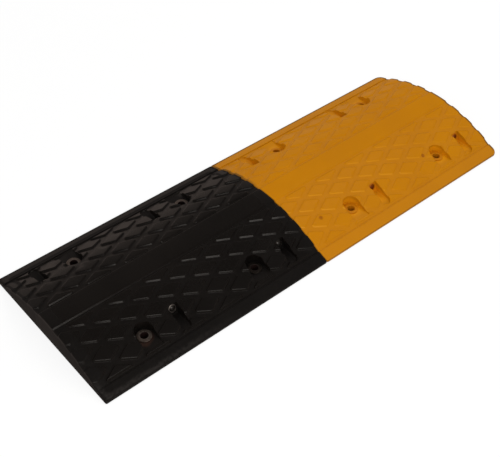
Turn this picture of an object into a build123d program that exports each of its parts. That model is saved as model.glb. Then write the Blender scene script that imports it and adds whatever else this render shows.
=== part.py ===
"""Two-module rubber speed bump: moulded treads, steel bolt bushes and cat's-eye reflectors.

Frame: millimetres, +Z up, origin on the ground at the middle of the joint between
the modules. +X runs along the bump towards the yellow module, Y is the driving
direction. Front is -Y, rear is +Y, left is the low-X end of a module.
"""

from build123d import *
import os
from math import cos, hypot, radians, sin, sqrt, tan

# ---- Module outline ----
module_length = 500.0       # one moulding, along X
module_width = 350.0        # across the bump, along Y
crest_height = 50.0         # ground to the crown
arch_radius = 322.0         # crown and pad tops lie on one cylinder
edge_thickness = 4.5        # lip at the two long edges
edge_rounding = 1.5
flange_width = 23.0         # plain flange outside the border groove
flange_rise = 7.0           # how much the flange climbs from its lip to the groove
flange_wall_run = 1.0       # lean of the flange's wall in the groove, along Y
square_corner_radius = 3.0  # plan corners, but for the free end of the yellow module
round_corner_radius = 13.0  # plan corners of that end, the right one

# ---- Tread ----
tread_height = 4.0          # pads and crown above the channel floor
crown_half_width = 22.0     # smooth band along the top
crown_draft = 1.0           # each side wall of the crown leans out by this much
tread_inner = 27.5          # pads are trimmed to this distance from the centre line
tread_border = 29.0         # and to this distance from the long edge
pad_pitch_x = 80.6          # long diagonal of the diamond grid
pad_pitch_y = 38.6          # short diagonal of the diamond grid
first_row = 30.5            # first row of pads, from the centre line
channel_width = 8.8         # gap between neighbouring pads, at half their height
pad_draft = 14.0            # degrees, so that the pads leave the mould
pad_root = 8.0              # the pads reach this far into the body below half height

# ---- Bolt holes ----
bolt_end_distance = 125.0   # bolt centre from the module's end
bolt_edge_distance = 65.0   # and from its long edge
recess_radius = 18.0        # room for a washer and a socket spanner
recess_floor = 15.7         # flat seat, height above the ground
bush_bore_radius = 7.5      # for an M12 ground anchor
bush_wall = 2.6
bush_flange_radius = 14.0
bush_flange_thickness = 2.5
bush_foot = 1.0             # the barrel stops short of the ground
bush_chamfer = 0.8
moulding_gap = 0.1          # rubber to insert, all round

# ---- Cat's-eye reflectors ----
eye_offset_x = 70.0         # pocket from the bolt hole beside it
eye_edge_distance = 77.5    # reflector centre from the long edge
eye_height = 25.5           # reflector centre above the ground
eye_tilt = 20.0             # degrees, the reflector looks slightly up
pocket_width = 20.0
pocket_floor = 12.5         # the trough ends, rounded, where the tread ends
pocket_corner_radius = 3.5
cup_radius = 7.4
cup_depth = 12.0
cup_rim_radius = 8.2
cup_rim_thickness = 1.2
glass_radius = 5.8
glass_seat_depth = 8.0
glass_proud = 2.0           # dome beyond the rim
glass_gap = 0.1             # glass to cup, round its side

# ---- Underside ----
cell_columns = 8            # closed lightening cells under the crown
cell_rows = 3
cell_length = 46.0          # along X
cell_width = 44.0
cell_rib = 10.0             # rubber left between neighbouring cells
cell_depth = 14.0
cell_draft = 5.0            # degrees

# ---- Derived places ----
arch_centre_z = crest_height - arch_radius
base_radius = arch_radius - tread_height
groove_line = module_width / 2 - flange_width
tread_outer = module_width / 2 - tread_border
bolt_spacing_x = module_length - 2 * bolt_end_distance
bolt_spacing_y = module_width - 2 * bolt_edge_distance
eye_distance_y = module_width / 2 - eye_edge_distance
ENDS = {"left": -1, "right": 1}
SIDES = {"front": -1, "rear": 1}
MODULES = {
    "black": (-module_length, square_corner_radius),
    "yellow": (0.0, round_corner_radius),
}


def arch_point(y, radius):
    """Point of the cross-section at distance y on the arch of that radius."""
    return (y, arch_centre_z + sqrt(radius**2 - y**2))


def module_section():
    """Cross-section: flat base, lips, flanges, border grooves, channel arch and crown.

    Where the arch would dip below the lip before it meets the groove, the rubber runs on
    level there, at the thickness of the lip.
    """
    half_width = module_width / 2
    foot = groove_line - flange_wall_run
    level_line = sqrt(base_radius**2 - (edge_thickness - arch_centre_z) ** 2)
    arch_end = arch_point(min(foot, level_line), base_radius)
    right = [
        (half_width, 0),
        (half_width, edge_thickness - edge_rounding),
        (half_width - edge_rounding, edge_thickness),
        (groove_line, edge_thickness + flange_rise),
        arch_end,
        arch_point(crown_half_width + crown_draft, base_radius),
        arch_point(crown_half_width, arch_radius),
    ]
    left = [(-y, z) for y, z in right]
    middle_of_base = (right[4][0] + right[5][0]) / 2
    edges = [
        Line(left[0], right[0]),
        ThreePointArc(left[6], arch_point(0, arch_radius), right[6]),
    ]
    for points, side in ((right, 1), (left, -1)):
        corner = (1 - sqrt(0.5)) * edge_rounding
        edges += [
            Line(points[0], points[1]),
            ThreePointArc(
                points[1],
                (side * (half_width - corner), edge_thickness - corner),
                points[2],
            ),
            Line(points[2], points[3]),
            Line(points[3], (side * foot, arch_end[1])),
            ThreePointArc(
                points[4], arch_point(side * middle_of_base, base_radius), points[5]
            ),
            Line(points[5], points[6]),
        ]
        if level_line < foot:
            edges.append(Line((side * foot, arch_end[1]), points[4]))
    return Plane.YZ * make_face(edges)


def plan_outline(right_corner_radius):
    """Upright prism of the plan: square corners at the left end, its own at the right."""
    outline = Pos(module_length / 2, 0) * Rectangle(module_length, module_width)
    left = outline.vertices().group_by(Axis.X)[0]
    outline = fillet(left, square_corner_radius)
    right = outline.vertices().group_by(Axis.X)[-1]
    outline = fillet(right, right_corner_radius)
    return extrude(outline, crest_height)


def pad_outline(channel):
    """Diamond pad in plan, for that width of channel round it."""
    half_x, half_y = pad_pitch_x / 2, pad_pitch_y / 2
    side_distance = half_x * half_y / hypot(half_x, half_y)
    shrink = 1 - channel / 2 / side_distance
    half_x, half_y = half_x * shrink, half_y * shrink
    return Polygon((half_x, 0), (0, half_y), (-half_x, 0), (0, -half_y), align=None)


def row_pad(row_y):
    """One drafted pad of the row at that distance, at X = 0, its top tangent to the arch."""
    spread = pad_root * tan(radians(pad_draft))
    inner, outer = tread_inner - spread, tread_outer + spread
    zone = Pos(0, (inner + outer) / 2) * Rectangle(pad_pitch_x, outer - inner)
    outline = (Pos(0, row_y) * pad_outline(channel_width - 2 * spread)) & zone
    top_z = arch_point(row_y, arch_radius)[1]
    root_z = top_z - tread_height / 2 - pad_root
    prism = extrude(Pos(0, 0, root_z) * outline, 2 * pad_root, taper=pad_draft)
    outwards = (0, row_y, top_z - arch_centre_z)
    top = Plane(origin=(0, row_y, top_z), x_dir=(1, 0, 0), z_dir=outwards)
    return split(prism, bisect_by=top, keep=Keep.BOTTOM)


def tread_pads():
    """Both slopes' pads: rows half a pitch apart, alternate rows shifted half a pitch."""
    pads = []
    row, row_y = 0, first_row
    while row_y - pad_pitch_y / 4 < tread_outer:
        pad = row_pad(row_y)
        shift = pad_pitch_x / 2 * (1 - row % 2)
        count = int((module_length / 2 + pad_pitch_x / 4) / pad_pitch_x) + 1
        for k in range(-count, count + 1):
            x = shift + k * pad_pitch_x
            if abs(x) < module_length / 2 + pad_pitch_x / 4:
                place = Pos(module_length / 2 + x, 0, 0)
                pads += [place * pad, place * mirror(pad, Plane.XZ)]
        row += 1
        row_y += pad_pitch_y / 2
    return pads


def bolt_places():
    """Plan place and side of each bolt hole of a module, by its end and side names."""
    middle = module_length / 2
    return {
        (side, end): (middle + ENDS[end] * bolt_spacing_x / 2, SIDES[side])
        for side in SIDES
        for end in ENDS
    }


def eye_frame(side, end):
    """Frame of a reflector: origin at its centre on the pocket wall, Z looking out."""
    x, sign = bolt_places()[side, end]
    tilt = radians(eye_tilt)
    return Plane(
        origin=(x - sign * eye_offset_x, sign * eye_distance_y, eye_height),
        x_dir=(1, 0, 0),
        z_dir=(0, sign * cos(tilt), sin(tilt)),
    )


def bolt_recess(side, end):
    """Cutter: round-backed seat that runs out down the slope, and the bush's hole."""
    x, sign = bolt_places()[side, end]
    run_out = module_width / 2 - bolt_spacing_y / 2
    seat = Circle(recess_radius)
    seat += Pos(0, sign * run_out / 2) * Rectangle(2 * recess_radius, run_out)
    hole_radius = bush_bore_radius + bush_wall + moulding_gap
    cutter = Pos(0, 0, recess_floor) * extrude(seat, crest_height)
    cutter += extrude(Circle(hole_radius), crest_height)
    return Pos(x, sign * bolt_spacing_y / 2, 0) * cutter


def eye_pocket(side, end):
    """Cutter: a level trough below the reflector, and the bore for its cup."""
    eye = eye_frame(side, end)
    sign = SIDES[side]
    lean = tan(radians(eye_tilt))
    foot = eye_distance_y + (eye_height - pocket_floor) * lean
    top = eye_distance_y - (crest_height - eye_height) * lean
    profile = Polygon(
        (sign * top, crest_height),
        (sign * foot, pocket_floor),
        (sign * tread_outer, pocket_floor),
        (sign * tread_outer, crest_height),
        align=None,
    )
    trough = extrude(Plane.YZ * profile, pocket_width / 2, both=True)
    floor_edges = trough.faces().sort_by(Axis.Z)[0].edges().filter_by(Axis.Y)
    trough = fillet(floor_edges, pocket_corner_radius)
    length = tread_outer - top
    plan = Pos(0, sign * (tread_outer - length)) * SlotOverall(
        2 * length, pocket_width, rotation=90
    )
    trough = Pos(eye.origin.X, 0, 0) * (trough & extrude(plan, crest_height))
    bore = Pos(0, 0, -cup_depth / 2) * Cylinder(cup_radius + moulding_gap, cup_depth)
    return trough + eye * bore


def underside_cells():
    """Cutters: a closed grid of drafted lightening cells under the crown."""
    cell = extrude(Rectangle(cell_length, cell_width), cell_depth, taper=cell_draft)
    pitch_x, pitch_y = cell_length + cell_rib, cell_width + cell_rib
    grid = GridLocations(pitch_x, pitch_y, cell_columns, cell_rows)
    return [Pos(module_length / 2, 0, 0) * place * cell for place in grid]


def module_body(right_corner_radius):
    """One moulded module, from X = 0 to its length, with its treads and pockets."""
    body = extrude(module_section(), module_length)
    body = body.fuse(*tread_pads())
    body = body & plan_outline(right_corner_radius)
    cutters = underside_cells()
    for side, end in bolt_places():
        cutters += [bolt_recess(side, end), eye_pocket(side, end)]
    return body.cut(*cutters)


def turned(points):
    """Solid of revolution about Z from a closed outline of (radius, height) points."""
    return revolve(Plane.XZ * make_face(Polyline(*points, close=True)), Axis.Z)


def bolt_bush():
    """Flanged steel bush: the flange sits on the recess floor, the barrel in the hole."""
    barrel_radius = bush_bore_radius + bush_wall
    top = recess_floor + bush_flange_thickness
    return turned(
        [
            (bush_bore_radius, bush_foot),
            (barrel_radius, bush_foot),
            (barrel_radius, recess_floor),
            (bush_flange_radius, recess_floor),
            (bush_flange_radius, top - bush_chamfer),
            (bush_flange_radius - bush_chamfer, top),
            (bush_bore_radius, top),
        ]
    )


def reflector_cup():
    """Metal cup: its rim rests on the pocket wall and its floor carries the glass."""
    bore = glass_radius + glass_gap
    return turned(
        [
            (0, -cup_depth),
            (cup_radius, -cup_depth),
            (cup_radius, 0),
            (cup_rim_radius, 0),
            (bore + cup_rim_thickness, cup_rim_thickness),
            (bore, cup_rim_thickness),
            (bore, -glass_seat_depth),
            (0, -glass_seat_depth),
        ]
    )


def reflector_glass():
    """Glass bead: a domed front on a straight body that stands on the cup's floor."""
    shoulder = (glass_radius, cup_rim_thickness)
    crown = cup_rim_thickness + glass_proud
    dome_radius = (glass_radius**2 + glass_proud**2) / (2 * glass_proud)
    half_out = glass_radius / 2
    on_dome = crown - dome_radius + sqrt(dome_radius**2 - half_out**2)
    edges = [
        Polyline((0, crown), (0, -glass_seat_depth), (glass_radius, -glass_seat_depth), shoulder),
        ThreePointArc(shoulder, (half_out, on_dome), (0, crown)),
    ]
    return revolve(Plane.XZ * make_face(edges), Axis.Z)


def save(shape, name):
    """Write one sub-part as parts/NAME.step."""
    shape.label = name
    export_step(shape, f"parts/{name}.step")


os.makedirs("parts", exist_ok=True)
bush = bolt_bush()
cup = reflector_cup()
glass = reflector_glass()
for colour, (start, right_corner_radius) in MODULES.items():
    module_place = Pos(start, 0, 0)
    save(module_place * module_body(right_corner_radius), f"{colour}_module")
    for (side, end), (x, sign) in bolt_places().items():
        place = f"{colour}_{side}_{end}"
        bolt = Pos(x, sign * bolt_spacing_y / 2, 0)
        eye = eye_frame(side, end)
        save(module_place * bolt * bush, f"bolt_bush_{place}")
        save(module_place * (eye * cup), f"reflector_cup_{place}")
        save(module_place * (eye * glass), f"reflector_glass_{place}")
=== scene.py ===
"""Looks of a two-module rubber speed bump: moulded tread, bolt bushes and cat's-eye reflectors.

Lengths are in millimetres in the shapes, and in metres in the finished meshes, the finishes and
the studio. The frame is the CAD one: +Z up, origin on the ground at the middle of the joint, +X
along the bump, Y across it.
"""

import logging
from dataclasses import dataclass
from enum import Enum
from typing import Any, Callable, Iterable, Sequence

import bmesh
import bpy
import numpy as np
from bpy.types import ID, Material, Mesh, NodeSocket, Object, World
from mathutils import Matrix, Vector
from mathutils.geometry import delaunay_2d_cdt


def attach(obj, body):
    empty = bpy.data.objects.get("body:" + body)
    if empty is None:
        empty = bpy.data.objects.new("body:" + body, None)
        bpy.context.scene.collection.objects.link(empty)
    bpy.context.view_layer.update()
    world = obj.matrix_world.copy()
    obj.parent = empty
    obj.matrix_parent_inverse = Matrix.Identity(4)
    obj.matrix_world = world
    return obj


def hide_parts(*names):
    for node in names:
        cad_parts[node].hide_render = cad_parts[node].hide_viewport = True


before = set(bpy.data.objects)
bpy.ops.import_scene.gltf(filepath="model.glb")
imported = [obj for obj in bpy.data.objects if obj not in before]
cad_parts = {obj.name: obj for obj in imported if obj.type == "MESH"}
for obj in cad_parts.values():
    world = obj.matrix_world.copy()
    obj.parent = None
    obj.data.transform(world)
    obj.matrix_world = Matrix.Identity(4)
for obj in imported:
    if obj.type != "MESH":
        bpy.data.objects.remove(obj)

log = logging.getLogger("speed_bump")

METRE = 0.001
PLAIN_EDGE, MODULE_EDGE, FITTING_EDGE = 30, 32, 40  # sharper turns stay edges, in degrees
SLIVER = 2e-7  # points of a mesh nearer than this are one, in metres
PLAN_SLIVER = 1e-5  # the same for the points of a plan, in millimetres
WITHIN_HULL = 0  # the triangulation's kind: every triangle inside the hull
Pair = tuple[float, float]
Triple = tuple[float, float, float]
Array = np.ndarray


class Moulding(Enum):
    """The two modules: their name, their left end along X and their right corners' radius."""

    BLACK = ("black", -500.0, 3.0)
    YELLOW = ("yellow", 0.0, 13.0)

    def __init__(self, title: str, start: float, right_corner: float) -> None:
        """Names the three values."""
        self.title, self.start, self.right_corner = title, start, right_corner


class Side(Enum):
    """Front and rear slopes, with the sign of their Y."""

    FRONT = -1.0
    REAR = 1.0


class End(Enum):
    """Left and right halves of a module, with the sign of their X."""

    LEFT = -1.0
    RIGHT = 1.0


# --- meshes


@dataclass
class Shell:
    """Vertices and faces of one or more closed surfaces."""

    points: Array
    faces: list[Any]

    def moved(self, rotation: Array, shift: Array) -> "Shell":
        """Every point turned by the rotation's columns and then shifted."""
        return Shell(self.points @ rotation.T + shift, self.faces)

    @staticmethod
    def joined(shells: Iterable["Shell"]) -> "Shell":
        """All the shells in one.

        Args:
            shells: closed surfaces that don't overlap.

        Returns:
            One shell, its face numbers raised by the points before them.
        """
        points, faces, start = [], [], 0
        for shell in shells:
            points.append(shell.points)
            faces += [[i + start for i in face] for face in shell.faces]
            start += len(shell.points)
        return Shell(np.vstack(points), faces)


def grid_faces(rows: int, columns: int, wrap_rows: bool) -> Array:
    """Quads of a grid whose columns wrap round.

    A quad joins a point, its right neighbour and the two above them.

    Args:
        rows: number of rows of points.
        columns: points in each row.
        wrap_rows: whether the last row joins the first one.

    Returns:
        An array of four point numbers for each quad.
    """
    here = np.arange(rows * columns).reshape(rows, columns)
    right, above = np.roll(here, -1, 1), np.roll(here, -1, 0)
    quads = np.stack([here, right, np.roll(above, -1, 1), above], -1)
    return quads[: rows if wrap_rows else -1].reshape(-1, 4)


def loft(rings: Array) -> Shell:
    """Closed shell through anticlockwise rings of points, lowest first, with flat caps.

    The surface is S(i, j) = ring i at its point j, and each cap is one flat face.

    Args:
        rings: array of shape (rings, points, 3).

    Returns:
        The closed shell, its faces outwards.
    """
    rows, columns = rings.shape[:2]
    faces = grid_faces(rows, columns, False).tolist()
    faces.append(list(range(columns))[::-1])
    faces.append([(rows - 1) * columns + j for j in range(columns)])
    return Shell(rings.reshape(-1, 3), faces)


def sloped(rings: Array, side: Side) -> Shell:
    """Loft of rings that are given for the rear slope, mirrored where the side is the front."""
    return loft(rings if side is Side.REAR else (rings * [1, -1, 1])[:, ::-1])


def turned(profile: Sequence[Pair] | Array, segments: int) -> Shell:
    """Closed surface of revolution about Z.

    A profile point (r, h) becomes (r cos t, r sin t, h), t in equal steps. The profile is an
    anticlockwise loop in the (radius, height) half plane; it may start and end on the axis.

    Args:
        profile: (radius, height) points.
        segments: steps round the axis.

    Returns:
        The shell, whose poles are merged when it becomes a mesh.
    """
    line = np.asarray(profile, float)
    angle = np.linspace(0, 2 * np.pi, segments, endpoint=False)
    ring = np.stack([np.cos(angle), np.sin(angle)], -1)
    points = np.empty((len(line), segments, 3))
    points[..., :2] = line[:, None, :1] * ring[None]
    points[..., 2] = line[:, None, 1]
    closed = not (line[0, 0] == 0 and line[-1, 0] == 0)
    return Shell(points.reshape(-1, 3), grid_faces(len(line), segments, closed).tolist())


def rounded(corners: Sequence[Triple], steps: int) -> Array:
    """Closed outline whose corners are arcs.

    At a corner with interior half angle a and radius r the arc starts r / tan a before the
    corner, and its points are centre + r (cos t, sin t) between the two edge normals.

    Args:
        corners: (radius, height, rounding) of each corner in order.
        steps: pieces of each arc.

    Returns:
        The outline's points.
    """
    table = np.array(corners, float)
    spots, radii = table[:, :2], table[:, 2]
    neighbours = np.roll(spots, 1, 0), np.roll(spots, -1, 0)
    share = np.linspace(0, 1, steps + 1)[:, None]
    outline = []
    for spot, before, after, radius in zip(spots, *neighbours, radii):
        if radius == 0:
            outline.append(spot[None])
            continue
        back = (before - spot) / np.hypot(*(before - spot))
        ahead = (after - spot) / np.hypot(*(after - spot))
        half = np.arccos(np.clip(back @ ahead, -1, 1)) / 2
        middle = (back + ahead) / np.hypot(*(back + ahead))
        centre = spot + middle * radius / np.sin(half)
        first = spot + back * radius / np.tan(half) - centre
        last = spot + ahead * radius / np.tan(half) - centre
        sweep = np.arccos(np.clip(first @ last / radius**2, -1, 1))
        arc = (np.sin((1 - share) * sweep) * first + np.sin(share * sweep) * last) / np.sin(sweep)
        outline.append(centre + arc)
    return np.vstack(outline)


def as_object(name: str, shell: Shell, sharp_degrees: float) -> Object:
    """Mesh object of a shell, in metres, merged, smooth, with sharp edges past an angle.

    Args:
        name: the piece's name.
        shell: points in millimetres.
        sharp_degrees: edges that turn by more than this stay sharp.

    Returns:
        The object, linked to the scene and standing at the origin.
    """
    mesh = bpy.data.meshes.new(name)
    mesh.from_pydata((shell.points * METRE).tolist(), [], shell.faces)
    welded(mesh)
    smooth(mesh, sharp_degrees)
    return linked(mesh)


def welded(mesh: Mesh) -> None:
    """Closes a mesh at its seams and poles, and turns its faces outwards.

    Args:
        mesh: the mesh, in metres.
    """
    net = bmesh.new()
    net.from_mesh(mesh)
    bmesh.ops.remove_doubles(net, verts=net.verts, dist=SLIVER)
    bmesh.ops.dissolve_degenerate(net, edges=net.edges, dist=SLIVER)
    bmesh.ops.recalc_face_normals(net, faces=net.faces)
    net.to_mesh(mesh)
    net.free()


def smooth(mesh: Mesh, sharp_degrees: float) -> None:
    """Smooth shading, broken where an edge turns by more than the angle."""
    mesh.shade_smooth()
    mesh.set_sharp_from_angle(angle=np.radians(sharp_degrees))


def linked(data: ID) -> Object:
    """Puts a mesh, a light or a camera in the scene.

    Args:
        data: its data block.

    Returns:
        Its object, under the same name and at the origin.
    """
    made = bpy.data.objects.new(data.name, data)
    bpy.context.scene.collection.objects.link(made)
    return made


def points_of(mesh: Mesh) -> Array:
    """Reads a mesh's points.

    Args:
        mesh: the mesh.

    Returns:
        The points in millimetres, one row each.
    """
    flat = np.empty(len(mesh.vertices) * 3, np.float32)
    mesh.vertices.foreach_get("co", flat)
    return flat.reshape(-1, 3) / METRE


def keep(mesh: Mesh, title: str, values: Array) -> None:
    """Keeps a number for each of a mesh's points under a title that its finish reads."""
    store = mesh.attributes.new(title, "FLOAT", "POINT")
    store.data.foreach_set("value", values.astype(np.float32))


def carved(body: Object, cutters: Sequence[Shell], name: str) -> Mesh:
    """The body's mesh after each cutter shell is taken away from it in turn.

    Args:
        body: the object to cut, which is removed afterwards.
        cutters: closed shells in millimetres, each free of overlaps.
        name: name of the new mesh.

    Returns:
        The finished mesh.
    """
    tools = [as_object(f"cutter_{i}", cutter, PLAIN_EDGE) for i, cutter in enumerate(cutters)]
    for tool in tools:
        cut = body.modifiers.new(tool.name, "BOOLEAN")
        cut.operation, cut.solver, cut.object = "DIFFERENCE", "EXACT", tool
    bpy.context.view_layer.update()
    graph = bpy.context.evaluated_depsgraph_get()
    mesh = bpy.data.meshes.new_from_object(body.evaluated_get(graph))
    mesh.name = name
    welded(mesh)
    for spent in (*tools, body):
        bpy.data.objects.remove(spent)
    return mesh


# --- module


@dataclass(frozen=True)
class MouldedWall:
    """Side of a raised tread: a drafted wall with a rounded top edge and a filleted foot."""

    height: float = 3.0
    draft: float = 36.0
    top_radius: float = 1.9
    foot_radius: float = 0.25
    margin: float = 3.0

    def profile(self) -> tuple[Array, Array]:
        """Break points of the wall, from the top inwards to the channel.

        The wall is offset = (height/2 - h) tan draft. Each arc turns through 90 degrees less
        the draft, and its tangents have the length radius * tan(turn / 2).

        Returns:
            Offsets outwards from the outline at half height, and the heights there.
        """
        lean = np.radians(self.draft)
        half, turn = np.tan(lean) * self.height / 2, np.pi / 2 - lean
        arcs = []
        steps = np.linspace(0, 1, 4), np.linspace(1, 0, 3)
        for radius, share in zip((self.top_radius, self.foot_radius), steps):
            reach, t = radius * np.tan(turn / 2), share * turn
            arcs.append(np.stack([radius * np.sin(t) - reach, radius * (np.cos(t) - 1)], -1))
        crest, hollow = arcs[0] + [-half, self.height], [half, 0.0] - arcs[1]
        line = np.vstack([[[-self.margin, self.height]], crest, hollow])
        return line[:, 0], line[:, 1]

    def rise(self, distance: Array) -> Array:
        """Height above the channel at a signed distance from the outline."""
        return np.interp(distance, *self.profile())


@dataclass(frozen=True)
class DiamondTread:
    """Staggered rows of diamond pads with rounded corners, mirrored on both slopes."""

    pitch_x: float = 80.6
    pitch_y: float = 38.6
    first_row: float = 30.5
    channel: float = 8.8
    corner_radius: float = 3.4
    inner: float = 27.5
    outer: float = 146.0
    middle: float = 250.0
    length: float = 500.0

    def core(self) -> Pair:
        """Half diagonals of the sharp diamond inside the rounded outline.

        A side lies at distance ab / hypot(a, b) from the centre; pulling it in by half a
        channel and the corner radius shrinks both diagonals in proportion.

        Returns:
            The half diagonals along X and across it.
        """
        a, b = self.pitch_x / 2, self.pitch_y / 2
        reach = a * b / np.hypot(a, b)
        shrink = 1 - (self.channel / 2 + self.corner_radius) / reach
        return a * shrink, b * shrink

    def distance(self, x: Array, s: Array) -> Array:
        """Signed distance to the nearest pad's outline, negative inside.

        With u = x/px + s/py and v = x/px - s/py the pads stand at whole (u, v), so rounding
        finds the nearest one. The distance to its sharp core is that to the nearest side,
        and the corner radius is taken off. The tread's inner and outer limits cut it.

        Args:
            x: places along the module.
            s: distances from the centre line.

        Returns:
            The distance at each place.
        """
        along = (x - self.middle - self.pitch_x / 2) / self.pitch_x
        across = (s - self.first_row) / self.pitch_y
        u, v = np.round(along + across), np.round(along - across)
        px = np.abs(along - (u + v) / 2) * self.pitch_x
        py = np.abs(across - (u - v) / 2) * self.pitch_y
        a, b = self.core()
        share = np.clip(((a - 2 * px) * a - (b - 2 * py) * b) / (a * a + b * b), -1, 1)
        gap = np.hypot(px - a * (1 - share) / 2, py - b * (1 + share) / 2)
        pad = gap * np.sign(px * b + py * a - a * b) - self.corner_radius
        return np.maximum(pad, np.maximum(self.inner - s, s - self.outer))

    def rings(self, offset: float) -> Array:
        """Outlines of all the pads, moved outwards by the offset.

        Round each corner of the core the outline is corner + (radius + offset)(cos t, sin t),
        t running between the normals of the two sides that meet there.

        Args:
            offset: how far the outlines move.

        Returns:
            Array of shape (pads, points, 2).
        """
        (a, b), counts = self.core(), (7, 4)  # points round each sharp and each blunt corner
        tip = np.degrees(np.arctan2(a, b))
        sharp = np.linspace(-tip, tip, counts[0])
        blunt = np.linspace(tip, 180 - tip, counts[1])
        angles = np.radians(np.concatenate([sharp, blunt, sharp + 180, blunt + 180]))
        corner = np.repeat([[a, 0], [0, b], [-a, 0], [0, -b]], counts * 2, axis=0)
        radius = self.corner_radius + offset
        outline = corner + radius * np.stack([np.cos(angles), np.sin(angles)], -1)
        rows = np.arange(int((self.outer - self.first_row) / (self.pitch_y / 2)) + 2)
        reach = int(np.ceil(self.length / self.pitch_x)) + 1
        row, k = np.meshgrid(rows, np.arange(-reach, reach + 1), indexing="ij")
        x = self.middle + self.pitch_x * (k + 0.5 * (1 - row % 2))
        near = np.abs(x - self.middle) < self.length / 2 + a + self.corner_radius
        centres = np.stack([x, self.first_row + row * self.pitch_y / 2], -1)[near]
        slope = centres[:, None] + outline
        return np.concatenate([slope, (slope * [1, -1])[:, ::-1]])


@dataclass(frozen=True)
class Module:
    """One rubber moulding, in its own frame: X from 0 to its length.

    The groove's foot is given by offsets from the flange's line and heights above the arch,
    and the flange's shoulder by offsets and depths below the flange's top. The loose points
    of the plan have a first place and a step. The clearance is how far cutters reach past
    the surface.
    """

    length: float = 500.0
    width: float = 350.0
    crest: float = 50.0
    arch_radius: float = 322.0
    crown_half_width: float = 22.5
    lip: float = 4.5
    lip_rounding: float = 1.4
    flange_top: float = 11.5
    flange_line: float = 152.0
    groove_foot: tuple[Pair, ...] = ((-2.1, 0.0), (-1.4, 0.25), (-1.0, 1.0))
    shoulder: tuple[Pair, ...] = ((-0.25, 1.2), (0.0, 0.55), (0.5, 0.25))
    flange_start: float = 1.4
    lip_run: float = 1.5
    outline_step: float = 4.5
    loose_x: Pair = (6.1, 10.3)
    loose_y: Pair = (-170.3, 9.1)
    left_corner: float = 3.0
    right_corner: float = 13.0
    bolt_x: float = 125.0
    bolt_y: float = 110.0
    seat_radius: float = 18.0
    seat_floor: float = 15.7
    hole_radius: float = 10.2
    eye_offset: float = 70.0
    eye_y: float = 97.5
    eye_z: float = 25.5
    eye_tilt: float = 20.0
    trough_width: float = 20.0
    trough_floor: float = 12.5
    trough_end: float = 146.0
    trough_fillet: float = 3.5
    bore_radius: float = 7.5
    bore_depth: float = 12.0
    cell_size: Triple = (46.0, 44.0, 14.0)
    cell_rib: float = 10.0
    cell_grid: tuple[int, int] = (8, 3)
    cell_draft: float = 5.0
    clearance: float = 5.0
    wall: MouldedWall = MouldedWall()
    tread: DiamondTread = DiamondTread()

    def arch(self, s: Array, rise: Array | float) -> Array:
        """Height of the arch: centre + sqrt((channel radius + rise)^2 - s^2)."""
        radius = self.arch_radius - self.wall.height + rise
        return self.crest - self.arch_radius + np.sqrt(np.maximum(radius**2 - s**2, 0))

    def border(self) -> tuple[Array, Array]:
        """Break points of the groove's outer wall and the flange, which falls evenly to the lip.

        Returns:
            Distances from the centre line, and heights.
        """
        foot, shoulder = np.array(self.groove_foot), np.array(self.shoulder)
        reach = self.width / 2 - self.flange_line
        fall = (self.flange_top - self.lip) / (reach - self.lip_run)
        slope = np.array([self.flange_start, reach])
        s = np.concatenate([foot[:, 0], shoulder[:, 0], slope]) + self.flange_line
        low = self.arch(foot[:, 0] + self.flange_line, 0.0) + foot[:, 1]
        drop = np.concatenate([shoulder[:, 1], slope * fall])
        return s, np.concatenate([low, self.flange_top - drop])

    def edge_distance(self, x: Array, y: Array) -> Array:
        """Signed distance to the plan outline, a rectangle with its own radius at each end.

        With q the place past the corner's centre, it is |q| - radius outside and the larger
        part of q - radius inside.

        Args:
            x: places along the module.
            y: places across it.

        Returns:
            The distance at each place, negative inside.
        """
        px, py = x - self.length / 2, np.abs(y)
        radius = np.where(px > 0, self.right_corner, self.left_corner)
        qx = np.abs(px) - self.length / 2 + radius
        qy = py - self.width / 2 + radius
        outside = np.hypot(np.maximum(qx, 0), np.maximum(qy, 0))
        return np.minimum(np.maximum(qx, qy), 0) + outside - radius

    def ground(self, y: Array, rise: Array | float = 0.0) -> Array:
        """Height of the tread's ground: the raised arch, then the groove's wall and flange."""
        s, (line_s, line_z) = np.abs(y), self.border()
        return np.where(s < line_s[0], self.arch(s, rise), np.interp(s, line_s, line_z))

    def top_height(self, x: Array, y: Array) -> Array:
        """Height of the moulded top.

        The arch is raised by the higher of the crown's and the pads' walls; outside the
        groove the flange takes over. Near the outline the edge rounding takes off
        r - sqrt(r^2 - (r - d)^2), d being the distance to the outline.

        Args:
            x: places along the module.
            y: places across it.

        Returns:
            The height at each place.
        """
        s, r = np.abs(y), self.lip_rounding
        pads, crown = self.tread.distance(x, s), s - self.crown_half_width
        rise = np.maximum(self.wall.rise(pads), self.wall.rise(crown))
        short = np.clip(r + self.edge_distance(x, y), 0, r)
        return self.ground(y, rise) - r + np.sqrt(r**2 - short**2)

    def outline(self, inset: float) -> Array:
        """Plan outline, anticlockwise: corner arcs joined by even steps.

        Args:
            inset: how far it is moved inwards.

        Returns:
            The outline's points.
        """
        half_x, half_y = self.length / 2, self.width / 2
        points = []
        quarters = [(1, -1, -90), (1, 1, 0), (-1, 1, 90), (-1, -1, 180)]
        for sx, sy, start in quarters:
            radius = self.right_corner if sx > 0 else self.left_corner
            t = np.radians(start + np.linspace(0, 90, 9))
            centre = np.array([half_x * (1 + sx) - sx * radius, sy * (half_y - radius)])
            points.append(centre + (radius - inset) * np.stack([np.cos(t), np.sin(t)], -1))
        ring, runs = np.concatenate(points), []
        for first, last in zip(ring, np.roll(ring, -1, 0)):
            count = max(1, int(np.ceil(np.hypot(*(last - first)) / self.outline_step)))
            runs.append(first + (np.arange(count) / count)[:, None] * (last - first))
        return np.concatenate(runs)

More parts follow.
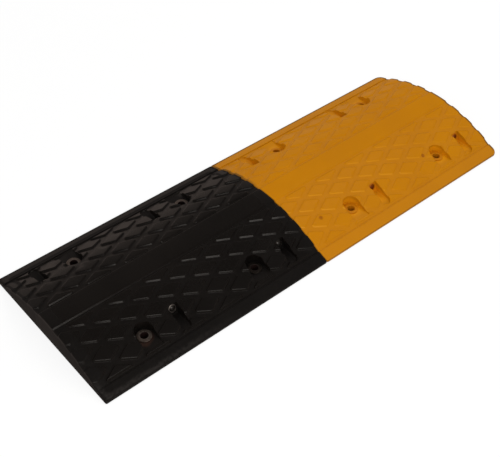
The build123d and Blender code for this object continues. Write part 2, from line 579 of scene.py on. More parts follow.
    def plan(self) -> tuple[Array, Array]:
        """Triangulation of the module's plan that has every break of the top as an edge.

        The constraints are the pads' outlines at each break of their wall, straight lines
        for the crown, the tread's limits, the groove and the flange, and the outline with its
        rounding. A loose grid of points carries the arch between them.

        Returns:
            Plan points, and triangles as triples of their numbers.
        """
        offsets, _ = self.wall.profile()
        rings = [ring for offset in offsets for ring in self.tread.rings(offset)]
        turn = np.radians([0, 25, 50, 70, 90])
        rings += [self.outline(i) for i in self.lip_rounding * (1 - np.cos(turn))]
        levels = [self.crown_half_width + offsets, self.tread.inner - offsets]
        levels += [self.tread.outer + offsets, self.border()[0][:-1], [0.0]]
        levels = np.unique(np.round(np.concatenate(levels), 4))
        levels = np.concatenate([-levels[levels > 0], levels])
        xs = np.linspace(-2, self.length + 2, 25)  # a little past both ends
        chains = rings + [np.stack([xs, np.full_like(xs, level)], -1) for level in levels]
        points, edges, count = [], [], 0
        for i, chain in enumerate(chains):
            number = np.arange(len(chain)) + count
            points.append(chain)
            links = np.stack([number, np.roll(number, -1)], -1)
            edges.append(links if i < len(rings) else links[:-1])
            count += len(chain)
        ends = (self.loose_x, self.length), (self.loose_y, self.width / 2)
        loose = np.meshgrid(*(np.arange(first, end, step) for (first, step), end in ends))
        points.append(np.stack(loose, -1).reshape(-1, 2))
        flat, links = np.concatenate(points), np.concatenate(edges)
        log.info("module plan: %d points, %d edges", len(flat), len(links))
        corners = [Vector(p) for p in flat.tolist()]
        out = delaunay_2d_cdt(corners, links.tolist(), [], WITHIN_HULL, PLAN_SLIVER, False)
        plan, triangles = np.array([tuple(p) for p in out[0]]), np.array(out[2])
        centre = plan[triangles].mean(1)
        inside = self.edge_distance(centre[:, 0], centre[:, 1]) < 0
        return plan, triangles[inside]

    def blank(self) -> Shell:
        """The module before its seats and holes: its top, its upright sides and a flat base.

        The top is the plan lifted to its height. An edge that one triangle has is on the rim,
        where a side drops to the ground.

        Returns:
            The closed shell.
        """
        plan, triangles = self.plan()
        used, inverse = np.unique(triangles, return_inverse=True)
        plan, triangles = plan[used], inverse.reshape(-1, 3)
        top = np.column_stack([plan, self.top_height(plan[:, 0], plan[:, 1])])
        edge = np.concatenate([triangles[:, [0, 1]], triangles[:, [1, 2]], triangles[:, [2, 0]]])
        _, first, times = np.unique(np.sort(edge), axis=0, return_index=True, return_counts=True)
        rim = edge[first[times == 1]]
        ring = np.unique(rim)
        offset = np.full(len(plan), -1)
        offset[ring] = len(plan) + np.arange(len(ring))
        walls = np.column_stack([rim[:, 1], rim[:, 0], offset[rim[:, 0]], offset[rim[:, 1]]])
        foot = np.column_stack([plan[ring], np.zeros(len(ring))])
        around = np.arctan2(foot[:, 1], foot[:, 0] - self.length / 2)
        base = (len(plan) + np.argsort(-around)).tolist()
        return Shell(np.vstack([top, foot]), triangles.tolist() + walls.tolist() + [base])

    def bolts(self) -> dict[tuple[Side, End], Pair]:
        """Where the bolts are.

        Returns:
            Plan place of each bolt hole, by its side and end.
        """
        half = self.length / 2
        return {
            (side, end): (half + end.value * self.bolt_x, side.value * self.bolt_y)
            for side in Side
            for end in End
        }

    def eye_place(self, side: Side, end: End) -> tuple[Array, Array]:
        """Where a reflector sits: its own Z looks out of the pocket's wall.

        Args:
            side: its slope.
            end: its half of the module.

        Returns:
            Rotation and origin.
        """
        x = self.bolts()[side, end][0] - side.value * self.eye_offset
        tilt = np.radians(self.eye_tilt)
        out = np.array([0.0, side.value * np.cos(tilt), np.sin(tilt)])
        right = np.array([1.0, 0.0, 0.0])
        turn = np.column_stack([right, np.cross(out, right), out])
        return turn, np.array([x, side.value * self.eye_y, self.eye_z])

    def seat_cutter(self, x: float, side: Side) -> Shell:
        """Seat of a bolt: a half circle uphill whose straight sides run out down the slope.

        Args:
            x: place of the bolt.
            side: its slope.

        Returns:
            The shell to cut away.
        """
        t = np.radians(np.linspace(180, 0, 33))
        radius, far = self.seat_radius, self.width / 2 + self.clearance - self.bolt_y
        arc = np.stack([radius * np.cos(t), -radius * np.sin(t)], -1)
        plan = np.vstack([[[radius, far], [-radius, far]], arc])
        rings = np.empty((2, len(plan), 3))
        rings[..., :2] = plan + [x, self.bolt_y]
        rings[..., 2] = [[self.seat_floor], [self.crest + self.clearance]]
        return sloped(rings, side)

    def trough_cutter(self, x: float, side: Side) -> Shell:
        """Trough below a reflector.

        Each ring is a slot with a half-circle end, its uphill side at the tilted wall:
        s = eye_y + (eye_z - z) tan tilt. Towards the floor the slot narrows by
        r (1 - sin t) while the height grows by r (1 - cos t), which rounds the floor's edge.

        Args:
            x: place of the reflector.
            side: its slope.

        Returns:
            The shell to cut away.
        """
        t, turn = np.linspace(0, np.pi / 2, 6), np.linspace(0, np.pi, 21)
        inset = np.append(self.trough_fillet * (1 - np.sin(t)), 0.0)
        z = np.append(
            self.trough_floor + self.trough_fillet * (1 - np.cos(t)), self.crest + self.clearance
        )
        wall = self.eye_y + (self.eye_z - z) * np.tan(np.radians(self.eye_tilt))
        half = self.trough_width / 2 - inset
        rings = np.empty((len(z), len(turn) + 2, 3))
        rings[:, 1:-1, 0] = half[:, None] * np.cos(turn)
        rings[:, 1:-1, 1] = self.trough_end - self.trough_width / 2 + half[:, None] * np.sin(turn)
        rings[:, 0, 0], rings[:, -1, 0] = half, -half
        rings[:, 0, 1] = rings[:, -1, 1] = wall
        rings[..., 2] = z[:, None]
        return sloped(rings + [x, 0, 0], side)

    def cell_cutters(self) -> list[Shell]:
        """Lightening cells under the crown: a grid of drafted blocks open to the ground.

        Returns:
            A shell to cut away for each cell.
        """
        *plan, deep = self.cell_size
        z = np.array([-self.clearance / 10, deep])
        inset = z * np.tan(np.radians(self.cell_draft))
        corner = np.array([[-1, -1], [1, -1], [1, 1], [-1, 1]], float)
        rings = np.empty((2, 4, 3))
        rings[..., :2] = corner * (np.array(plan) / 2 - inset[:, None, None])
        rings[..., 2] = z[:, None]
        xs, ys = (
            (np.arange(count) - (count - 1) / 2) * (size + self.cell_rib)
            for count, size in zip(self.cell_grid, plan)
        )
        return [loft(rings + [x + self.length / 2, y, 0]) for x in xs for y in ys]

    @staticmethod
    def _drill(radius: float, low: float, high: float, segments: int) -> Shell:
        """An upright cylinder to cut away."""
        return turned([(0, low), (radius, low), (radius, high), (0, high)], segments)

    def build(self) -> Mesh:
        """The finished moulding: the blank less its seats, troughs and cells, then its bores.

        Returns:
            The mesh, in the module's own frame.
        """
        open_cuts, bores = self.cell_cutters(), []
        hole = self._drill(self.hole_radius, low=-1, high=40, segments=64)
        bore = self._drill(self.bore_radius, low=-self.bore_depth, high=2, segments=48)
        for (side, end), (x, y) in self.bolts().items():
            turn, origin = self.eye_place(side, end)
            open_cuts += [self.seat_cutter(x, side), self.trough_cutter(origin[0], side)]
            bores += [hole.moved(np.eye(3), np.array([x, y, 0])), bore.moved(turn, origin)]
        body = as_object("blank", self.blank(), PLAIN_EDGE)
        return carved(body, [Shell.joined(open_cuts), Shell.joined(bores)], "module")

    def marked(self, mesh: Mesh, moulding: Moulding) -> Object:
        """A module's piece: the mesh at its place, with measures of the surface kept on it.

        "lift" is the height above the tread's ground in millimetres, negative in seats and
        pockets, "inland" the distance from the plan outline, and "outward" the way that each
        face's corner points.

        Args:
            mesh: the finished moulding, in the module's own frame.
            moulding: which module it is.

        Returns:
            The piece.
        """
        place = points_of(mesh)
        keep(mesh, "lift", place[:, 2] - self.ground(place[:, 1]))
        keep(mesh, "inland", -self.edge_distance(place[:, 0], place[:, 1]))
        place[:, 0] += moulding.start
        mesh.vertices.foreach_set("co", (place * METRE).astype(np.float32).ravel())
        mesh.update()
        smooth(mesh, MODULE_EDGE)
        outward = np.empty(len(mesh.loops) * 3, np.float32)
        mesh.corner_normals.foreach_get("vector", outward)
        mesh.attributes.new("outward", "FLOAT_VECTOR", "CORNER").data.foreach_set("vector", outward)
        mesh.name = f"{moulding.title}_moulding"
        return linked(mesh)


# --- fittings


@dataclass(frozen=True)
class BoltBush:
    """Flanged steel bush in a bolt hole, with broken edges and a slightly dished flange."""

    bore: float = 7.5
    barrel: float = 10.1
    flange: float = 14.0
    foot: float = 1.0
    seat: float = 15.7
    thickness: float = 2.5
    dish: float = 0.15

    def shell(self) -> Shell:
        """The bush turned about Z from its rounded profile.

        Returns:
            The shell.
        """
        top = self.seat + self.thickness
        profile = [
            (self.bore, self.foot, 0.3),
            (self.barrel, self.foot, 0.4),
            (self.barrel, self.seat, 0),
            (self.flange, self.seat, 0.3),
            (self.flange, top - self.dish, 0.9),
            (self.bore, top, 0.7),
        ]
        return turned(rounded(profile, steps=5), segments=80)


@dataclass(frozen=True)
class CatsEye:
    """Reflector: a metal cup with a rolled rim, and a domed glass in it."""

    cup: float = 7.4
    depth: float = 12.0
    rim: float = 8.2
    rim_height: float = 1.2
    glass: float = 5.8
    gap: float = 0.1
    seat: float = 8.0
    proud: float = 2.0

    def cup_shell(self) -> Shell:
        """The cup turned about Z: floor, body, rim bent over the rubber, and inner wall.

        Returns:
            The shell.
        """
        bore = self.glass + self.gap
        profile = [
            (0, -self.depth, 0),
            (self.cup, -self.depth, 0.8),
            (self.cup, 0, 0),
            (self.rim, 0, 0.25),
            (self.rim, self.rim_height * 0.55, 0.3),
            (bore + 0.7, self.rim_height, 0.4),
            (bore, self.rim_height, 0.25),
            (bore, -self.seat, 0),
            (0, -self.seat, 0),
        ]
        return turned(rounded(profile, steps=4), segments=64)

    def glass_shell(self) -> Shell:
        """The glass turned about Z: a flat back, an upright side and a dome.

        The dome is part of a sphere of radius (g^2 + p^2) / 2p, g being the glass's radius
        and p how proud the dome stands.

        Returns:
            The shell.
        """
        sphere = (self.glass**2 + self.proud**2) / (2 * self.proud)
        reach = np.linspace(np.arcsin(self.glass / sphere), 0, 12)
        top = self.rim_height + self.proud
        dome = [(sphere * np.sin(t), top - sphere * (1 - np.cos(t))) for t in reach[:-1]]
        bevel = 0.3
        side = [(0, -self.seat), (self.glass - bevel, -self.seat), (self.glass, -self.seat + bevel)]
        return turned(side + dome + [(0, top)], segments=64)


# --- shader arithmetic


def adds(operation: str, turned_round: bool = False) -> Callable[["Signal", Any], "Signal"]:
    """Makes an operator that adds a Math node.

    Args:
        operation: the node's operation.
        turned_round: whether the other value comes first.

    Returns:
        The operator, as a method of two values.
    """

    def operator(self: "Signal", other: Any) -> "Signal":
        """Adds the node."""
        return self._math(operation, *((other, self) if turned_round else (self, other)))

    return operator


class Signal:
    """A shader socket on which Python arithmetic adds nodes; | is the higher of two masks."""

    def __init__(self, graph: "Graph", socket: NodeSocket) -> None:
        """Wraps an output socket of a graph."""
        self.graph = graph
        self.socket = socket

    def _math(self, operation: str, *values: Any, clamp: bool = False) -> "Signal":
        """A Math node of these values."""
        inputs = dict(enumerate(values))
        return self.graph.node("Math", inputs, operation=operation, use_clamp=clamp)

    __add__ = __radd__ = adds("ADD")
    __mul__ = __rmul__ = adds("MULTIPLY")
    __sub__, __rsub__ = adds("SUBTRACT"), adds("SUBTRACT", True)
    __or__ = adds("MAXIMUM")

    def clamped(self) -> "Signal":
        """Held between 0 and 1."""
        return self._math("ADD", self, 0.0, clamp=True)

    def ramp(self, low: float, high: float) -> "Signal":
        """Smooth step from 0 to 1.

        Args:
            low: the value at 0, which may be the larger one.
            high: the value at 1.

        Returns:
            The step.
        """
        values = {0: self, 1: min(low, high), 2: max(low, high)}
        step = self.graph.node("MapRange", values, interpolation_type="SMOOTHSTEP")
        return 1.0 - step if low > high else step


class Graph:
    """Nodes of one material or world."""

    def __init__(self, owner: Material | World) -> None:
        """Empties the owner's node tree and keeps it.

        Args:
            owner: the material or world.
        """
        owner.use_nodes = True
        self.tree = owner.node_tree
        self.tree.nodes.clear()

    def node(self, kind: str, values: dict[Any, Any], output: Any = 0, **settings: Any) -> Signal:
        """Adds one node.

        Args:
            kind: the node's type, without "ShaderNode".
            values: numbers, colours or signals by socket name or number.
            output: the output that the signal stands for, by name or number.
            settings: the node's properties, set first.

        Returns:
            The signal of that output.
        """
        made = self.tree.nodes.new(f"ShaderNode{kind}")
        for key, value in settings.items():
            setattr(made, key, value)
        for key, value in values.items():
            socket = made.inputs[key]
            if isinstance(value, Signal):
                self.tree.links.new(value.socket, socket)
            else:
                socket.default_value = (*value, 1.0) if socket.type == "RGBA" else value
        return Signal(self, made.outputs[output])

    def coordinates(self) -> Signal:
        """Object coordinates, in metres."""
        return self.node("TexCoord", {}, "Object")

    def axis(self, title: str) -> Signal:
        """One of the object coordinates, in metres."""
        return self.node("SeparateXYZ", {0: self.coordinates()}, title)

    def stretched(self, scale: Triple) -> Signal:
        """Object coordinates with each axis scaled."""
        return self.node("Mapping", {"Vector": self.coordinates(), "Scale": scale})

    def noise(self, scale: float, detail: float, rough: float, on: Signal | None = None) -> Signal:
        """Fractal noise of 0 to 1 on object coordinates or on the given ones."""
        values = {0: on or self.coordinates(), "Scale": scale, "Detail": detail, "Roughness": rough}
        return self.node("TexNoise", values)

    def measure(self, title: str, output: str = "Fac") -> Signal:
        """A measure kept on the piece: a number, or a direction through the output "Vector"."""
        return self.node("Attribute", {}, output, attribute_name=title)

    def blend(self, share: Signal | float, first: Any, second: Any, how: str = "MIX") -> Signal:
        """Colour mix of two colours by a share."""
        values = {0: share, 6: first, 7: second}
        return self.node("Mix", values, 2, data_type="RGBA", blend_type=how)

    def facing(self, way: Triple) -> Signal:
        """How far the piece's surface faces a direction: the dot product of "outward" with it."""
        values = {0: self.measure("outward", "Vector"), 1: way}
        return self.node("VectorMath", values, "Value", operation="DOT_PRODUCT")

    def spot(self, centre: Triple, radius: float, softness: float) -> Signal:
        """Mask round a place.

        Args:
            centre: the place, in metres as the rest.
            radius: the mask is 1 within this.
            softness: it fades to 0 over this.

        Returns:
            The mask.
        """
        values = {0: self.coordinates(), 1: centre}
        gap = self.node("VectorMath", values, "Value", operation="DISTANCE")
        return gap.ramp(radius + softness, radius)

    def bump(
        self, height: Signal, depth: float, strength: float, under: Signal | None = None
    ) -> Signal:
        """Normal of a height field.

        Args:
            height: the field, of 0 to 1.
            depth: its full range in metres.
            strength: how much of it shows.
            under: the normal that it is laid on.

        Returns:
            The normal.
        """
        values: dict[str, Any] = {"Strength": strength, "Distance": depth, "Height": height}
        if under is not None:
            values["Normal"] = under
        return self.node("Bump", values)

    def rays(self) -> tuple[Signal, Signal]:
        """Masks of the rays that carry the backdrop.

        Returns:
            The mask of camera rays, and that of mirrored or passed ones.
        """
        kinds = ("Camera", "Glossy", "Transmission")
        direct, glossy, passed = (self.node("LightPath", {}, f"Is {kind} Ray") for kind in kinds)
        return direct, glossy | passed

    def principled(self, **sockets: Any) -> None:
        """Ends the graph in a Principled surface; underscores stand for spaces in the names."""
        values = {name.replace("_", " "): value for name, value in sockets.items()}
        self.ends_in(self.node("BsdfPrincipled", values))

    def ends_in(self, shader: Signal, kind: str = "OutputMaterial") -> None:
        """Ends the graph in an output node."""
        end = self.tree.nodes.new(f"ShaderNode{kind}")
        self.tree.links.new(shader.socket, end.inputs["Surface"])


# --- finishes


def darker(colour: Triple, share: float) -> Triple:
    """A colour with each of its numbers brought down to a share."""
    return tuple(share * c for c in colour)


@dataclass(frozen=True)
class Finish:
    """A look that makes its own material."""

    title: str

    def paint(self, g: Graph) -> None:
        """Fills the material's graph, as each kind of finish does its own way."""
        raise NotImplementedError

    def material(self) -> Material:
        """Makes the material.

        Returns:
            The finish as a new material.
        """
        made = bpy.data.materials.new(self.title)
        self.paint(Graph(made))
        return made


@dataclass(frozen=True)
class RubberFinish(Finish):
    """Moulded rubber: mottled colour, flow marks, dust low in the tread, and painted light and
    shade.

    It reads "lift", "inland" and "outward" from its piece.
    A share is the most of its colour that shows. The scuff is a band by the near left corner.
    Along the outline the rim colour is painted: painted shade as a dark outline on the yellow,
    a lighter band of painted sheen on the black. The pads' walls that face the near left take a
    painted highlight colour. A tint multiplies the colour in seats and pockets, painted shade on
    the black and painted bounce light on the yellow, and flange_wear is the roughness that the
    flange gains. A stain is a place, a radius, a softness and a colour.
    """

    base: Triple
    mottle: Triple
    dust: Triple
    dust_share: float
    pit_shading_tint: Triple
    rim: Triple
    painted_edge_share: float
    wall_highlight: Triple
    wall_highlight_share: float
    specular: float
    stains: tuple[tuple[Triple, float, float, Triple], ...]
    roughness: float = 0.30
    scuff: Triple = (0.0, 0.0, 0.0)
    scuff_share: float = 0.0
    flange_wear: float = 0.0

    def paint(self, g: Graph) -> None:
        """Fills the material's graph.

        Args:
            g: the graph.
        """
        lift, inland = g.measure("lift"), g.measure("inland")
        along, across = g.axis("X"), g.axis("Y")
        up, near_left = g.facing((0.0, 0.0, 1.0)), g.facing((-0.900, -0.436, 0.0))
        low, pit, flange = lift.ramp(2.4, 0.2), lift.ramp(-0.5, -9.0), inland.ramp(24.0, 20.0)
        broad, fine = g.noise(9.0, 3.0, 0.55), g.noise(160.0, 4.0, 0.6)
        flow = g.noise(1.0, 3.0, 0.6, g.stretched((9.0, 90.0, 60.0)))
        scratch = g.noise(1.0, 4.0, 0.7, g.stretched((45.0, 420.0, 200.0))).ramp(0.62, 0.74)
        # The rubber itself, mottled and with flow marks; in seats and pockets a tint paints shade
        # on the black and bounce light on the yellow.
        colour = g.blend(broad.ramp(0.34, 0.68), self.base, self.mottle)
        colour = g.blend(flow.ramp(0.5, 0.75) * 0.35, colour, self.mottle)
        colour = g.blend(pit, colour, g.blend(1.0, colour, self.pit_shading_tint, "MULTIPLY"))
        # The scuffed band, dust and stains.
        corner = across.ramp(-0.13, -0.16) * along.ramp(-0.16, -0.42)
        scuffed = inland.ramp(1.0, 4.0) * inland.ramp(13.0, 6.0) * corner
        colour = g.blend(scuffed * fine.ramp(0.3, 0.6) * self.scuff_share, colour, self.scuff)
        dusty = low * fine.ramp(0.3, 0.75) * 0.8 + pit * 0.5 * fine + scratch * 0.12
        colour = g.blend((dusty * self.dust_share).clamped(), colour, self.dust)
        for centre, radius, softness, tint in self.stains:
            uneven = g.spot(centre, radius, softness) * (0.55 + 0.45 * fine.ramp(0.25, 0.6))
            colour = g.blend(uneven, colour, tint)
        # Painted edge colour along the rim, most on the far and right edges: painted shade as a
        # dark outline on the yellow, painted sheen as a lighter band on the black.
        edges = (across.ramp(0.0, 0.1) | along.ramp(0.46, 0.48)) * across.ramp(-0.173, -0.160)
        outline = inland.ramp(6.0, 3.2) * edges * up.ramp(0.2, 0.5)
        outer = (inland.ramp(1.5, 0.2) * 0.6 | outline) * self.painted_edge_share
        colour = g.blend(outer.clamped(), colour, self.rim)
        # Painted highlights on the pads' walls that face the near left, in the rows between the
        # crown and the flange, and a little painted light on the walls that face away.
        rows = across.ramp(-0.138, -0.112) * across.ramp(-0.030, -0.036) * lift.ramp(0.7, 1.3)
        wall_glint = near_left.ramp(0.30, 0.48) * rows * (0.35 + 0.65 * along.ramp(0.40, 0.22))
        wall_glint = wall_glint + near_left.ramp(-0.20, -0.36) * lift.ramp(0.2, 0.8) * 0.25
        share = (wall_glint * lift.ramp(2.7, 2.3) * self.wall_highlight_share).clamped()
        colour = g.blend(share, colour, self.wall_highlight)
        # Gloss: smoother on the pads and the crest, rougher where it is dusty or sooty.
        crest = (across * across).ramp(0.0015, 0.0012)
        polish = lift.ramp(0.3, 1.0) * lift.ramp(3.3, 2.9)
        sooty = inland.ramp(13.0, 17.0) * flange * across.ramp(0.10, 0.13)
        rough = self.roughness + (broad - 0.5) * 0.12 + (fine - 0.5) * 0.06 + low * 0.04
        rough = rough + pit * 0.12 + flange * self.flange_wear + (outline + sooty) * 0.3
        rough = rough - polish * 0.08 - crest * 0.05
        relief = g.bump(g.noise(900.0, 3.0, 0.6), 0.00018, 0.08, g.bump(broad, 0.0006, 0.35))
        g.principled(
            Base_Color=colour,
            Roughness=rough.clamped(),
            Specular_IOR_Level=self.specular,
            Normal=relief,
        )


@dataclass(frozen=True)
class MetalFinish(Finish):
    """Worn metal of a turned part, rusted in spots and in its bore; the bore's dark colour is also
    painted shade for the hole.

    It reads "bore" from its piece. The coat, where there is one, covers all but the chips.
    The metal is darker within about 3 cm of one given place.
    """

    metal: Triple
    rust_and_shade: Triple
    roughness: float
    rust_share: float
    coat: Triple | None = None
    darkened_near: Triple | None = None

    def paint(self, g: Graph) -> None:
        """Fills the material's graph.

        Args:
            g: the graph.
        """
        bore, worn, broad = g.measure("bore"), g.noise(380.0, 4.0, 0.65), g.noise(120.0, 3.0, 0.5)
        # Rusted spots, and the bore's colour, which is also painted shade for the hole.
        spots = worn.ramp(0.52, 0.72) * self.rust_share + bore.ramp(0.9, 0.3)
        rust_and_shade_mask = (spots | (bore.ramp(1.6, 0.4) * broad.ramp(0.4, 0.65) * 0.7)).clamped()
        bright = g.blend(broad.ramp(0.3, 0.7) * 0.4, self.metal, darker(self.metal, 0.6))
        if self.darkened_near is not None:
            bright = g.blend(g.spot(self.darkened_near, 0.030, 0.005), bright, darker(self.metal, 0.22))
        shine, colour = 1.0 - rust_and_shade_mask, g.blend(rust_and_shade_mask, bright, self.rust_and_shade)
        if self.coat is not None:
            chipped = worn.ramp(0.62, 0.70) * 0.6
            shine, colour = shine * chipped, g.blend(1.0 - chipped, colour, self.coat)
        rough = self.roughness + rust_and_shade_mask * 0.4 + (worn - 0.5) * 0.2
        g.principled(
            Base_Color=colour,
            Metallic=shine.clamped(),
            Roughness=rough.clamped(),
            Specular_IOR_Level=0.5 if self.coat is None else 0.1,
            Normal=g.bump(worn, 0.0002, 0.35),
        )


@dataclass(frozen=True)
class GlassFinish(Finish):
    """Dark coloured glass bead, paler towards its edge, under a clear coat of this gloss.

    It reads "bore" from its piece.
    """

    heart: Triple
    edge: Triple
    gloss: float

    def paint(self, g: Graph) -> None:
        """Fills the material's graph.

        Args:
            g: the graph.
        """
        cloud = g.noise(420.0, 3.0, 0.6)
        colour = g.blend(g.measure("bore").ramp(2.0, 5.8), self.heart, self.edge)
        colour = g.blend(cloud.ramp(0.45, 0.8) * 0.5, colour, darker(self.heart, 0.4))
        g.principled(
            Base_Color=colour,
            Roughness=(0.07 + cloud * 0.1).clamped(),
            Coat_Weight=self.gloss,
            Specular_IOR_Level=0.5 * self.gloss,
            Coat_Roughness=0.03,
            Normal=g.bump(cloud, 0.00008, 0.25),
        )


# --- studio


@dataclass(frozen=True)
class Lamp:
    """Soft lamp that faces the origin: its place, width, height and power in watts.

    A card is only seen mirrored in glossy surfaces; any other lamp lights matt ones and shows
    in none.
    """

    title: str
    place: Triple
    width: float
    height: float
    power: float
    tint: Triple
    card: bool = False

    def hang(self) -> None:
        """Adds the lamp."""
        light = bpy.data.lights.new(self.title, "AREA")
        light.shape, light.size, light.size_y = "RECTANGLE", self.width, self.height
        light.energy, light.color = self.power, self.tint
        lamp = linked(light)
        lamp.location = self.place
        lamp.rotation_euler = Vector(self.place).to_track_quat("Z", "Y").to_euler()
        lamp.visible_camera = False
        lamp.visible_diffuse, lamp.visible_glossy = not self.card, self.card


@dataclass(frozen=True)
class Viewpoint:
    """Camera: bearing, elevation and roll in degrees, distance and target in metres."""

    bearing: float = -41.56
    elevation: float = 44.89
    roll: float = 1.57
    distance: float = 1.8534
    target: Triple = (-0.0534, -0.0137, 0.0)
    lens: float = 68.6
    sensor: float = 36.0

    def place(self) -> None:
        """Adds the camera: turned about its target, then drawn back from it."""
        matrix = Matrix.Translation(self.target)
        for angle, axis in (self.bearing, "Z"), (90 - self.elevation, "X"), (self.roll, "Z"):
            matrix @= Matrix.Rotation(np.radians(angle), 4, axis)
        camera = linked(bpy.data.cameras.new("camera"))
        camera.data.lens, camera.data.sensor_width = self.lens, self.sensor
        camera.matrix_world = matrix @ Matrix.Translation((0.0, 0.0, self.distance))
        bpy.context.scene.camera = camera


@dataclass(frozen=True)
class Studio:
    """White sweep, soft lamps and camera.

    The ground under the object is a painted shadow, dark, so that nothing shines up through
    the bolt holes. The painted shadow ends between the two values of x^2 and of y^2, in square
    metres. The floor lies a little below the ground, in millimetres.
    """

    world_light: float = 0.81
    room_top: Triple = (0.058, 0.050, 0.046)
    room_high: Triple = (0.112, 0.100, 0.093)
    room_low: Triple = (0.52, 0.42, 0.37)
    floor_shade: Triple = (0.9, 0.9, 0.9)
    painted_shadow_colour: Triple = (0.03, 0.012, 0.008)
    floor_white: Triple = (1.035, 1.035, 1.035)
    floor_glow: float = 0.78
    floor_mirrored: Triple = (0.20, 0.165, 0.148)
    floor_half: float = 8000.0
    floor_drop: float = 0.6
    shadow_reach_x: Pair = (0.240, 0.230)
    shadow_reach_y: Pair = (0.0272, 0.0256)
    lamps: tuple[Lamp, ...] = (
        Lamp("overhead lamp", (1.3, 0.5, 2.0), 1.0, 1.0, 7.0, (1.0, 0.97, 0.94)),
        Lamp("window lamp", (-0.8, -1.45, 1.15), 0.8, 0.8, 10.0, (1.0, 0.98, 0.94)),
        Lamp("window card", (-0.42, -2.0, 1.35), 1.36, 0.9, 5.8, (1.0, 0.94, 0.88), True),
    )

    def _room(self) -> None:
        """Adds the world: plain light, white to the camera, a dim room in reflections."""
        world = bpy.context.scene.world = bpy.data.worlds.new("white room")
        g = Graph(world)
        direct, mirrored = g.rays()
        way, side = (g.node("SeparateXYZ", {0: g.node("TexCoord", {})}, axis) for axis in "ZY")
        high = g.blend(way.ramp(0.78, 0.98), self.room_high, self.room_top)
        room = g.blend(way.ramp(0.55, -0.05) * side.ramp(0.1, 0.6), high, self.room_low)
        plain_light = g.blend(direct, (self.world_light,) * 3, (1.0, 1.0, 1.0))
        colour = g.blend(mirrored, plain_light, room)
        g.ends_in(g.node("Background", {"Color": colour}), "OutputWorld")

    def _sweep(self) -> Material:
        """The floor's material: matt, white to the camera but for its shadows, and dark under the
        object as a painted shadow.

        Returns:
            The material.
        """
        white = bpy.data.materials.new("white sweep")
        g = Graph(white)
        along, across = g.axis("X"), g.axis("Y")
        # Painted shadow: under the object the ground is dark and does not glow.
        under = (along * along).ramp(*self.shadow_reach_x) * (across * across).ramp(*self.shadow_reach_y)
        ground = g.blend(under, self.floor_shade, self.painted_shadow_colour)
        matt = g.node("BsdfDiffuse", {"Color": ground})
        direct, mirrored = g.rays()
        colour = g.blend(mirrored, self.floor_white, self.floor_mirrored)
        glow = g.node("Emission", {"Color": colour})
        share = ((direct * self.floor_glow) | mirrored) * (1.0 - under)
        g.ends_in(g.node("MixShader", {0: share, 1: matt, 2: glow}))
        return white

    def build(self) -> Object:
        """Adds the world, the lamps, the camera and the floor.

        Returns:
            The floor.
        """
        self._room()
        for lamp in self.lamps:
            lamp.hang()
        Viewpoint().place()
        corners = np.array([[-1, -1, 0], [1, -1, 0], [1, 1, 0], [-1, 1, 0]]) * self.floor_half
        sheet = Shell(corners - [0, 0, self.floor_drop], [[0, 1, 2, 3]])
        floor = as_object("floor", sheet, PLAIN_EDGE)
        floor.data.materials.append(self._sweep())
        bpy.context.scene.view_settings.view_transform = "Standard"
        return floor


# --- assembly


COATED_WALL = MouldedWall(height=2.4, draft=51.0, top_radius=4.0, foot_radius=5.0, margin=3.2)
BLACK_RUBBER = RubberFinish(
    title="black rubber",
    base=(0.0030, 0.0021, 0.0015),
    mottle=(0.0044, 0.0031, 0.0023),
    dust=(0.016, 0.011, 0.008),
    dust_share=0.16,
    pit_shading_tint=(0.7, 0.7, 0.7),
    rim=(0.008, 0.006, 0.005),
    painted_edge_share=0.5,
    wall_highlight=(0.010, 0.008, 0.007),
    wall_highlight_share=0.2,
    specular=0.5,
    stains=(
        ((-0.382, -0.121, 0.0157), 0.005, 0.009, (0.030, 0.010, 0.004)),
        ((-0.376, -0.112, 0.0157), 0.013, 0.006, (0.020, 0.007, 0.003)),
    ),
    scuff=(0.040, 0.034, 0.030),
    scuff_share=0.4,
    flange_wear=0.12,
)
YELLOW_RUBBER = RubberFinish(
    title="yellow rubber",
    base=(0.51, 0.188, 0.0015),
    mottle=(0.485, 0.176, 0.0015),
    dust=(0.34, 0.105, 0.003),
    dust_share=0.03,
    pit_shading_tint=(1.36, 1.44, 2.1),
    rim=(0.12, 0.055, 0.008),
    painted_edge_share=0.8,
    wall_highlight=(0.62, 0.255, 0.012),
    wall_highlight_share=0.7,
    specular=0.10,
    stains=(
        ((0.049, -0.102, 0.031), 0.0020, 0.0045, (0.22, 0.05, 0.002)),
        ((0.341, -0.101, 0.031), 0.0018, 0.0038, (0.22, 0.05, 0.002)),
    ),
)
BARE_STEEL = MetalFinish(
    title="bare steel",
    metal=(0.34, 0.28, 0.24),
    rust_and_shade=(0.012, 0.003, 0.002),
    roughness=0.42,
    rust_share=0.5,
    darkened_near=(-0.125, -0.110, 0.012),
)
YELLOW_STEEL = MetalFinish(
    "yellow coated steel", (0.40, 0.30, 0.22), (0.12, 0.022, 0.001), 0.40, 0.1, (0.50, 0.172, 0.002)
)
DULL_CUP = MetalFinish(
    title="tarnished cup",
    metal=(0.38, 0.34, 0.31),
    rust_and_shade=(0.008, 0.005, 0.004),
    roughness=0.36,
    rust_share=0.5,
    darkened_near=(-0.055, -0.0975, 0.0255),
)
YELLOW_CUP = MetalFinish(
    "yellow coated cup", (0.30, 0.22, 0.15), (0.10, 0.018, 0.001), 0.40, 0.3, (0.42, 0.12, 0.002)
)
SMOKE_GLASS = GlassFinish("smoky glass", (0.006, 0.005, 0.004), (0.010, 0.008, 0.006), 1.0)
AMBER_GLASS = GlassFinish("amber glass", (0.11, 0.018, 0.001), (0.20, 0.045, 0.002), 0.3)


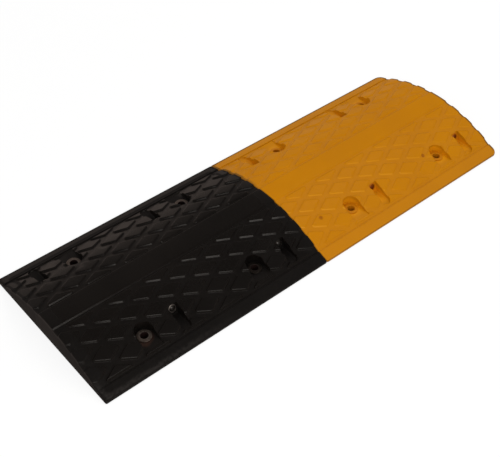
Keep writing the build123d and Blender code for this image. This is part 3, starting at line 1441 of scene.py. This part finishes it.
@dataclass(frozen=True)
class Fitting:
    """A small part that every module repeats: its node's first words, its shape and its look."""

    title: str
    shell: Shell
    finish: Material
    slot: str
    inner: float = 0.0

    def placed(self, name: str, turn: Array, origin: Array) -> None:
        """Adds the fitting in place of its CAD node, with its distance from its bore kept on it.

        Args:
            name: the node's last words.
            turn: rotation whose columns are the fitting's own axes.
            origin: the place of its own origin.
        """
        node = f"{self.title}_{name}"
        piece = as_object(f"{node}_part", self.shell.moved(turn, origin), FITTING_EDGE)
        own = (points_of(piece.data) - origin) @ turn
        keep(piece.data, "bore", np.hypot(own[:, 0], own[:, 1]) - self.inner)
        mounted(piece, node, self.finish)


def mounted(piece: Object, node: str, finish: Material) -> None:
    """Dresses a piece and lets it stand for its CAD node.

    Args:
        piece: the piece.
        node: the CAD node.
        finish: the piece's material.
    """
    piece.data.materials.clear()
    piece.data.materials.append(finish)
    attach(piece, "root")
    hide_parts(node)
    log.info("%s: %d faces", piece.name, len(piece.data.polygons))


@dataclass(frozen=True)
class Dress:
    """What one module is made with: its tread's wall, its finishes and its bushes' slot."""

    wall: MouldedWall
    rubber: RubberFinish
    bush: MetalFinish
    bush_slot: str
    cup: MetalFinish
    glass: GlassFinish

    def fittings(self) -> list[Fitting]:
        """The module's small parts.

        Returns:
            Its bush, and its reflector's cup and glass.
        """
        bush, eye = BoltBush(), CatsEye()
        return [
            Fitting("bolt_bush", bush.shell(), self.bush.material(), self.bush_slot, bush.bore),
            Fitting("reflector_cup", eye.cup_shell(), self.cup.material(), "reflector_cup"),
            Fitting("reflector_glass", eye.glass_shell(), self.glass.material(), "reflector_glass"),
        ]


DRESSES = {
    Moulding.BLACK: Dress(
        MouldedWall(), BLACK_RUBBER, BARE_STEEL, "bush_steel", DULL_CUP, SMOKE_GLASS
    ),
    Moulding.YELLOW: Dress(
        COATED_WALL, YELLOW_RUBBER, YELLOW_STEEL, "bush_yellow_coat", YELLOW_CUP, AMBER_GLASS
    ),
}


class SpeedBump:
    """The whole object: two mouldings, their bushes and their reflectors."""

    def build(self) -> None:
        """Adds every piece."""
        for moulding, dress in DRESSES.items():
            module = Module(right_corner=moulding.right_corner, wall=dress.wall)
            title, shift = moulding.title, np.array([moulding.start, 0.0, 0.0])
            piece = module.marked(module.build(), moulding)
            mounted(piece, f"{title}_module", dress.rubber.material())
            bush, *reflector = dress.fittings()
            for (side, end), (x, y) in module.bolts().items():
                name = f"{title}_{side.name.lower()}_{end.name.lower()}"
                bush.placed(name, np.eye(3), shift + [x, y, 0.0])
                turn, origin = module.eye_place(side, end)
                for part in reflector:
                    part.placed(name, turn, origin + shift)


def main() -> None:
    """Builds the studio and the object."""
    logging.basicConfig(level=logging.INFO, format="%(name)s: %(message)s")
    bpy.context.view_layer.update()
    floor = Studio().build()
    SpeedBump().build()


if __name__ == "__main__":
    main()
